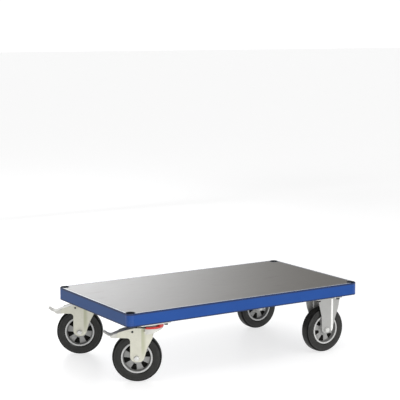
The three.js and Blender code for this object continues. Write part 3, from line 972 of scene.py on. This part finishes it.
def axleNut():
    nut = hexagon(axle["flats"], axle["nutHeight"] - 2.6)
    collar = turned([(0, 0), (8.2, 0), (8.2, 1.8), (7.2, 2.6), (0, 2.6)], 32)
    nut = together(nut, shifted(collar, z=axle["nutHeight"] - 2.7))
    return shifted(moved(nut, Matrix.Rotation(-math.pi / 2, 4, "X")), y=axle["face"])


plateSize = {
    "length": 140,
    "width": 110,
    "thickness": 5,
    "corner": 8,
    "spacingX": 105,
    "spacingY": 80,
    "hole": 5.5,
}
bolt = {
    "flats": 16,
    "headHeight": 6.2,
    "nutHeight": 8,
    "shank": 4.9,
    "end": 12,           # past the frame
    "washer": 10,
    "washerHole": 5.2,
    "topWasher": 1.6,
}


def boltSpots():
    x, y = plateSize["spacingX"] / 2, plateSize["spacingY"] / 2
    return [(-x, -y), (x, -y), (x, y), (-x, y)]


def mountingPlate(bottom, top):
    x, y, radius = plateSize["length"] / 2, plateSize["width"] / 2, plateSize["corner"]
    edge = roundedOutline([(-x, -y, radius), (x, -y, radius), (x, y, radius), (-x, y, radius)])
    holes = [circleOf(spotX, spotY, plateSize["hole"], 24) for spotX, spotY in boltSpots()]
    return plate([edge, *holes], bottom, top, 0.7)


# hexagon bolt from below with a washer, its nut on the frame above
def mountingBolts(under, over):
    hole, rim, thick = bolt["washerHole"], bolt["washer"], bolt["topWasher"]
    washer = turned([(hole, 0), (rim, 0), (rim, -1.6), (rim - 0.4, -2), (hole, -2)], 40)
    head = moved(hexagon(bolt["flats"], bolt["headHeight"]), Matrix.Rotation(math.pi, 4, "X"))
    head = shifted(head, z=-2)
    end = over - under + bolt["end"]
    shank = turned([(0, -3), (bolt["shank"], -3), (bolt["shank"], end), (0, end)], 24)
    low = shifted(together(washer, head, shank), z=under)
    nut = shifted(hexagon(bolt["flats"], bolt["nutHeight"]), z=over + thick)
    topWasher = shifted(turned([(hole, 0), (rim, 0), (rim, thick), (hole, thick)], 32), z=over)
    return together(*[shifted(together(low, nut, topWasher), x, y) for x, y in boltSpots()])


def addWheel(side, centre, axleLine, place):
    body = "wheel_" + side
    rubber = makeTyreRubber(side, centre, axleLine)
    plastic = makeRimPlastic(side, centre, axleLine)
    addPiece("tyre_smooth_" + side, tyreShape(), rubber, body, ["tyre_" + side], place)
    addPiece("rim_smooth_" + side, rimShape(), plastic, body, ["rim_" + side], place)
    # painted shade: the black core darkens the rim's pockets
    addPiece("rim_core_" + side, rimCore(), pocket, body, [], place)
    addPiece("hub_sleeve_" + side, hubSleeve(), dark, body, ["hub_bush_" + side], place)


def addAxle(side, body, place):
    addPiece("axle_bolt_smooth_" + side, axleBolt(), bright, body, ["axle_bolt_" + side],
             place)
    addPiece("axle_nut_smooth_" + side, axleNut(), bright, body, ["axle_nut_" + side], place)


def jointAt(name):
    return next(joint for joint in frame["joints"] if joint["name"] == name)


fixedCaster = {
    "inner": 28,
    "sheet": 3.5,
    "crease": 24,
    "creaseWidth": 5,
    "stepOut": 4,
}


def fixedLeg(top):
    corners = [
        (-26, 84, 23.5), (26, 84, 23.5), (39, 140, 80), (60, 196, 60), (68, top, 0),
        (-46, top, 0), (-40, 210, 60), (-27, 160, 120),
    ]
    outer = fixedCaster["inner"] + fixedCaster["sheet"]
    hole = circleOf(0, wheel["radius"], axle["radius"] + gap, 28)
    flat = standingPlate([roundedOutline(corners, 10), hole], -outer, -fixedCaster["inner"], 0.5)
    start, width = fixedCaster["crease"], fixedCaster["creaseWidth"]
    flat = scored(flat, [start + width * n / 4 for n in range(5)])
    bent = []
    for point in flat[0]:
        share = min(max((point.x - start) / width, 0), 1)
        step = share * share * (3 - 2 * share) * fixedCaster["stepOut"]
        bent.append(Vector((point.x, point.y - step, point.z)))
    return bent, flat[1]


def fixedFork(plateBottom):
    leg = fixedLeg(plateBottom + 1)
    seam = []
    for side in (-1, 1):
        y = side * (fixedCaster["inner"] + fixedCaster["sheet"] + 0.6)
        bead = turnedAbout(weldBead(0, 0, -30, 18, 1.6), "Y", 90)
        seam.append(shifted(bead, 8 * side, y, plateBottom - 0.6))
    return together(mountingPlate(plateBottom, railBottom - gap), leg, turnedAbout(leg, "Z", 180), *seam)


def fixedCasters():
    plateBottom = railBottom - plateSize["thickness"]
    for side in sides:
        joint = jointAt("wheel_spin_fixed_" + side)
        centre = Vector(joint["pos_m"])
        ground = Matrix.Translation((centre.x, centre.y, floorLevel * millimetre))
        atAxle = Matrix.Translation(centre)
        # painted highlight along each fixed fork's step
        creasePaintedZinc = makeZinc("grey zinc " + side, greyZinc, fixedCreaseHighlight, centre, (1, 0, 0))
        addPiece("fork_fixed_" + side, fixedFork(plateBottom), creasePaintedZinc, "platform",
                 ["fixed_fork_" + side], ground)
        addPiece("bolts_fixed_" + side, mountingBolts(plateBottom, railBottom + 3), dark, "platform",
                 [], ground)
        addAxle("fixed_" + side, "platform", atAxle)
        addWheel("fixed_" + side, centre, joint["axis"], atAxle)


fixedCasters()
print("fixed casters made")

swivelCaster = {
    "trail": 52,
    "inner": 28,
    "sheet": 3.5,
    "crease": 20,
    "creaseTurn": 6,
    "creaseRadius": 4,
    "discRadius": 41,
    "kingpinHole": 8.6,
    "kingpinBottom": 206.7,
    "discBottom": 219,
    "discTop": 223,
    "raceTop": 232,
    "brakePin": (-16.5, 208),
    "releasePin": (34, 211),
    "pinRadius": 4,
    "brakePinReach": 33,
    "releasePinReach": 51,
}


# the hole for one of the pivot pins
def pinHole(spot):
    return circleOf(*swivelCaster[spot], swivelCaster["pinRadius"] + gap, 20)


def swivelCheek():
    corners = [
        (-26, 84, 23.5), (26, 84, 23.5), (43, 142, 90), (67, 187, 26), (60, 214, 16), (34, 223, 22),
        (-12, 223, 50), (-50, 213, 30), (-78, 204, 10), (-79.5, 183, 7), (-25.5, 182, 13),
    ]
    inner, outer = swivelCaster["inner"], swivelCaster["inner"] + swivelCaster["sheet"]
    holes = [circleOf(0, wheel["radius"], axle["radius"] + gap, 28)]
    holes += [pinHole("brakePin"), pinHole("releasePin")]
    flat = standingPlate([roundedOutline(corners, 10), *holes], -outer, -inner, 0.5)
    start, radius = swivelCaster["crease"], swivelCaster["creaseRadius"]
    flat = scored(flat, [start - radius, start - radius / 2, start, start + radius / 2, start + radius])
    slope = math.tan(math.radians(swivelCaster["creaseTurn"]))
    bent = []
    for point in flat[0]:
        past = point.x - start
        if abs(past) < radius:
            lean = slope * (past + radius) ** 2 / (4 * radius)
        else:
            lean = slope * max(past, 0)
        bent.append(Vector((point.x, point.y + lean, point.z)))
    return bent, flat[1]


def swivelFork():
    cheek = swivelCheek()
    low, high, inner = swivelCaster["discBottom"], swivelCaster["discTop"], swivelCaster["inner"]
    corners = [(2, -inner - 1, 3), (60, -inner + 3, 9), (60, inner - 3, 9), (2, inner + 1, 3)]
    bore, radius = swivelCaster["kingpinHole"], swivelCaster["discRadius"]
    bridge = plate([roundedOutline(corners), circleOf(swivelCaster["trail"], 0, bore, 32)], low, high, 0.8)
    disc = turned([
        (bore, low), (radius - 1, low), (radius, low + 1), (radius, high - 1.4), (radius - 1.4, high),
        (radius - 3, high), (bore, high),
    ])
    rolls = []
    for side in (-1, 1):
        roll = turned([(0, -24), (1.9, -24), (2.2, -22), (2.2, 22), (1.9, 24), (0, 24)], 16)
        roll = turnedAbout(roll, "Y", 90)
        rolls.append(shifted(roll, 24, side * (inner + 1.2), high - 2.3))
    whole = together(cheek, mirroredInY(cheek), bridge, shifted(disc, swivelCaster["trail"]), *rolls)
    return shifted(whole, -swivelCaster["trail"])


def ballRace():
    low, high = swivelCaster["discTop"] + gap, swivelCaster["raceTop"]
    middle = (low + high) / 2
    return turned([
        (22, low), (37.2, low), (38, low + 0.8), (38, middle - 1.2), (36.4, middle - 0.5),
        (36.4, middle + 0.5), (38, middle + 1.2), (38, high - 0.8), (37.2, high), (22, high),
    ])


def swivelPlateShape(plateBottom):
    low = swivelCaster["raceTop"]
    race = turned([
        (26, low + gap), (36.8, low + gap), (38, low + 1.5), (38.6, plateBottom - 2.5),
        (41, plateBottom - 0.5), (41, plateBottom + 1), (26, plateBottom + 1),
    ])
    return together(mountingPlate(plateBottom, railBottom - gap), race)


def kingpinShape():
    bottom, top = swivelCaster["kingpinBottom"], swivelCaster["discBottom"] - gap
    nut = shifted(moved(hexagon(20.4, top - bottom - 3), Matrix.Rotation(math.pi, 4, "X")), z=top)
    end = railBottom - 1
    pin = turned([(0, bottom), (6.6, bottom), (7.6, bottom + 1), (7.6, end), (0, end)], 40)
    return together(nut, pin)


# a pivot pin along Y with a low domed rivet head at each end
def pivotPin(reach, radius):
    dome = [(radius - 0.4, reach - 0.9), (radius - 0.1, reach - 0.4), (radius - 1.2, reach - 0.1)]
    return turnedOnAxle([(0, -reach)] + [(r, -y) for r, y in reversed(dome)] + dome + [(0, reach)], 32)


brakeParts = {"sheet": 3.0, "half": 26, "flange": 2.5, "bend": 7}


def brakePedalShape():
    half = brakeParts["half"]
    line = [
        (-8, 215.0, half), (-45, 211.3, half), (-75, 201.7, half), (-104, 189.4, half),
        (-112, 190.6, half - 3.4), (-121, 194.6, half - 4.6), (-134.8, 204.6, half - 6),
    ]
    web = bentStrip(bendLine(line, brakeParts["bend"]), brakeParts["sheet"])
    corners = [
        (-8, 202, 5), (-8, 213.6, 1), (-45, 210.6, 30), (-75, 201, 30), (-107, 187.5, 2), (-104, 183, 5),
        (-96, 180.5, 8), (-76, 181, 20), (-58, 188, 20), (-34, 200, 20),
    ]
    outlines = [roundedOutline(corners, 5), pinHole("brakePin")]
    flange = standingPlate(outlines, -half, -half + brakeParts["flange"], 0.5)
    grips = []
    for k in range(3):
        rib = turned([(0, -15 + k), (1.1, -14 + k), (1.1, 14 - k), (0, 15 - k)], 12)
        rib = turnedAbout(rib, "X", 90)
        grips.append(shifted(rib, -119.5 - 5 * k, 0, 195.7 + 3.6 * k))
    return shifted(together(web, flange, mirroredInY(flange), *grips), -swivelCaster["trail"])


# angles are degrees to either side of straight ahead, heights are above the floor
releaseParts = {
    "leverRadii": (44, 54),
    "leverReach": 109,
    "leverHeights": (221.7, 224.7),
    "skirtRadii": (50, 53),
    "skirtTop": 224,
    "skirtLimit": 222.5,
    "skirtPlaces": (-30, -8, 14, 50, 60),
    "skirtHeights": (203, 203, 206, 220, 223),
    "seat": 225,
    "pedalInner": 43.5,
    "armOuter": 55.5,
    "armReach": 105,
    "armTop": 232.5,
    "toeOuter": 56,
    "toeReach": 42,
    "toeTop": 239.5,
}


def arcBand(inner, outer, reach, steps=60):
    return arcOf(0, 0, outer, -reach, reach, steps) + arcOf(0, 0, inner, reach, -reach, steps)


# horseshoe with a skirt whose lower edge rises towards the front
def releaseLeverShape():
    reach = releaseParts["leverReach"]
    points, faces, steps = [], [], 60
    floorX, floorZ = releaseParts["skirtPlaces"], releaseParts["skirtHeights"]
    inner, outer = releaseParts["skirtRadii"]
    top = releaseParts["skirtTop"]
    for n in range(steps + 1):
        angle = math.radians(-reach + 2 * reach * n / steps)
        x = (inner + outer) / 2 * math.cos(angle)
        k = max(bisect.bisect_left(floorX, x), 1)
        share = (x - floorX[k - 1]) / (floorX[k] - floorX[k - 1])
        low = min(floorZ[k - 1] + share * (floorZ[k] - floorZ[k - 1]), releaseParts["skirtLimit"])
        for radius, z in ((inner, low), (outer, low), (outer, top), (inner, top)):
            points.append(Vector((radius * math.cos(angle), radius * math.sin(angle), z)))
    for n in range(steps):
        for k in range(4):
            a, b = n * 4 + k, n * 4 + (k + 1) % 4
            faces.append([a, b, b + 4, a + 4])
    faces += [[3, 2, 1, 0], [steps * 4 + k for k in range(4)]]
    shoe = plate([arcBand(*releaseParts["leverRadii"], reach)], *releaseParts["leverHeights"], 0.7)
    return together(shoe, (points, faces))


def releasePedalShape():
    inner, seat = releaseParts["pedalInner"], releaseParts["seat"]
    arms = arcBand(inner, releaseParts["armOuter"], releaseParts["armReach"])
    toe = arcBand(inner, releaseParts["toeOuter"], releaseParts["toeReach"], 32)
    arms = plate([arms], seat, releaseParts["armTop"], 1.8)
    toe = plate([toe], seat, releaseParts["toeTop"], 2.4)
    grips = []
    for k in range(-4, 5):
        ridge = turned([(0, -4.2), (0.8, -4), (0.8, 4), (0, 4.2)], 10)
        ridge = shifted(turnedAbout(ridge, "Y", 90), 49.8, 0, 239.2)
        grips.append(turnedAbout(ridge, "Z", 9 * k))
    return together(arms, toe, *grips)


def swivelCasters():
    plateBottom = railBottom - plateSize["thickness"]
    for side in sides:
        turn = jointAt("swivel_turn_" + side)
        spin = jointAt("wheel_spin_swivel_" + side)
        pivot, centre = Vector(turn["pos_m"]), Vector(spin["pos_m"])
        angle = -math.atan2(spin["axis"][0], spin["axis"][1])
        ground = Matrix.Translation((pivot.x, pivot.y, floorLevel * millimetre))
        turnedGround = ground @ Matrix.Rotation(angle, 4, "Z")
        atAxle = Matrix.Translation(centre) @ Matrix.Rotation(angle, 4, "Z")
        swivel, brake, release = "swivel_" + side, "brake_" + side, "release_" + side
        addPiece("plate_swivel_" + side, swivelPlateShape(plateBottom), pedal, "platform",
                 ["swivel_plate_" + side], ground)
        addPiece("bolts_swivel_" + side, mountingBolts(plateBottom, railBottom + 3), dark, "platform",
                 [], ground)
        addPiece("kingpin_nut_" + side, kingpinShape(), dark, "platform",
                 ["kingpin_" + side], ground)
        forward = (math.cos(angle), math.sin(angle), 0)
        # painted shade beside each swivel fork's crease
        creasePaintedZinc = makeZinc("cream zinc " + side, creamZinc, swivelCreaseShade, centre, forward)
        addPiece("fork_swivel_" + side, swivelFork(), creasePaintedZinc, swivel, ["swivel_fork_" + side],
                 turnedGround)
        addPiece("ball_race_" + side, ballRace(), dark, swivel, ["ball_ring_" + side],
                 turnedGround)
        trail = -swivelCaster["trail"]
        pins = (
            ("brake_pin", "brakePin", dark, "dark_steel"),
            ("release_pin", "releasePin", cream, "zinc_cream"),
        )
        for name, spot, finish, slotName in pins:
            x, z = swivelCaster[spot]
            pin = pivotPin(swivelCaster[spot + "Reach"], swivelCaster["pinRadius"])
            addPiece(name + "_smooth_" + side, shifted(pin, trail + x, 0, z), finish, swivel,
                     [name + "_" + side], turnedGround)
        addPiece("pedal_" + brake, brakePedalShape(), pedal, brake, ["brake_pedal_" + side],
                 turnedGround)
        softened("brake_shoe_" + side, 0.8, lining, brake, 2)
        addPiece("lever_" + release, releaseLeverShape(), pedal, release,
                 ["release_lever_" + side], turnedGround)
        addPiece("pedal_" + release, releasePedalShape(), red, release,
                 ["release_pedal_" + side], turnedGround)
        addAxle("swivel_" + side, swivel, atAxle)
        addWheel("swivel_" + side, centre, spin["axis"], atAxle)


swivelCasters()
print("swivel casters made")

studio = {
    "floorReach": 60,
    "floorColour": (0.42, 0.42, 0.42),
    "floorDeep": (0.46, 0.46, 0.46),
    "floorGlow": 0.70,
    "horizon": 1.08,
    "band": 0.10,
    "ceiling": 0.85,
    # how high the band starts and ends, as the height of a direction
    "bandStart": (0.022, 0.05),
    "bandEnd": (0.25, 0.7),
    # share of light held back from the left and behind, and where that comes in
    "leftShade": 0.92,
    "shadeToLeft": (0.15, 0.5),
    "shadeToBack": (-0.35, 0.15),
    "cards": [
        # name, place, aim, width, height, watts
        ("top", (-0.2, -0.8, 3.4), (0, 0, -0.1), 3.4, 2.4, 34),
        ("front", (1.6, -3.8, 1.3), (0.3, 0, -0.15), 2.0, 1.4, 20),
        ("low", (0.4, -3.4, -0.08), (0.3, -0.25, -0.15), 1.8, 0.3, 13),
        ("strip", (-2.35, -3.75, 0.9), (-0.5, -0.3, -0.1), 0.14, 1.7, 22),
    ],
    # a pale screen behind the platform, bright at its left and fading to the right
    "screen": {"left": -0.1, "right": 4.4, "low": 0.25, "high": 2.0, "back": 4.0, "glow": 3.3,
               "fadeFrom": 0.9, "fadeTo": 4.4, "fadeCurve": 1.7,
               "dim": (0.03, 0.03, 0.03), "pale": (0.97, 0.98, 1)},
}


def flatPiece(name, corners, finish):
    mesh = bpy.data.meshes.new(name)
    mesh.from_pydata(corners, [], [[0, 1, 2, 3]])
    mesh.materials.append(finish.material)
    piece = bpy.data.objects.new(name, mesh)
    bpy.context.scene.collection.objects.link(piece)
    return piece


def makeFloor():
    finish = Finish("pale floor")
    cloud = finish.noise(0.7, 3, 0.5)
    speck = finish.noise(60, 3, 0.6)
    finish.fixed(Base_Color=finish.blendColours(cloud * 0.3, studio["floorColour"], studio["floorDeep"]))
    finish.fixed(Roughness=0.42 + speck * 0.06, Specular_IOR_Level=0.2)
    finish.fixed(Emission_Color=(1, 1, 1), Emission_Strength=studio["floorGlow"])
    finish.fixed(Normal=finish.bump(speck, 0.03, 0.0005))
    reach, level = studio["floorReach"], floorLevel * millimetre
    signs = ((-1, -1), (1, -1), (1, 1), (-1, 1))
    floor = flatPiece("floor", [(x * reach, y * reach, level) for x, y in signs], finish)


def makeScreen():
    screen = studio["screen"]
    finish = Finish("pale screen")
    x, _, _ = finish.axes(finish.place)
    fade = (1 - finish.step(x, screen["fadeFrom"], screen["fadeTo"])) ** screen["fadeCurve"]
    finish.fixed(Base_Color=(0.0, 0.0, 0.0), Specular_IOR_Level=0.0, Emission_Strength=screen["glow"])
    finish.fixed(Emission_Color=finish.blendColours(fade, screen["dim"], screen["pale"]))
    left, right, low, high, back = (screen[k] for k in ("left", "right", "low", "high", "back"))
    corners = [(left, back, low), (right, back, low), (right, back, high), (left, back, high)]
    piece = flatPiece("screen", corners, finish)
    piece.visible_camera = False
    piece.visible_shadow = False


def makeLight():
    world = bpy.data.worlds.new("studio")
    bpy.context.scene.world = world
    world.use_nodes = True
    nodes = Nodes(world.node_tree)
    toRight, toBack, up = nodes.axes(nodes.add("ShaderNodeTexCoord", {}, {}, "Generated"))
    low = 1 - nodes.step(up, *studio["bandStart"])
    high = nodes.step(up, *studio["bandEnd"])
    band = studio["band"]
    level = low * (studio["horizon"] - band) + high * (studio["ceiling"] - band) + band
    leftBehind = nodes.step(0 - toRight, *studio["shadeToLeft"]) * nodes.step(toBack, *studio["shadeToBack"])
    level = level * (1 - leftBehind * studio["leftShade"])
    # the backdrop itself is plain, and only what the object mirrors has a darker band
    seen = nodes.add("ShaderNodeLightPath", {}, {}, "Is Camera Ray")
    level = level * (1 - seen) + seen * studio["horizon"]
    nodes.feed(world.node_tree.nodes["Background"].inputs["Strength"], level)
    nodes.feed(world.node_tree.nodes["Background"].inputs["Color"], (1, 1, 1))
    for name, place, aim, width, height, power in studio["cards"]:
        light = bpy.data.lights.new(name, "AREA")
        light.shape = "RECTANGLE"
        light.size, light.size_y, light.energy = width, height, power
        card = bpy.data.objects.new(name, light)
        card.location = place
        card.rotation_euler = (Vector(aim) - Vector(place)).to_track_quat("-Z", "Y").to_euler()
        card.visible_camera = False
        bpy.context.scene.collection.objects.link(card)
    bpy.context.scene.view_settings.view_transform = "Standard"


makeFloor()
makeScreen()
makeLight()
print("floor and light made")
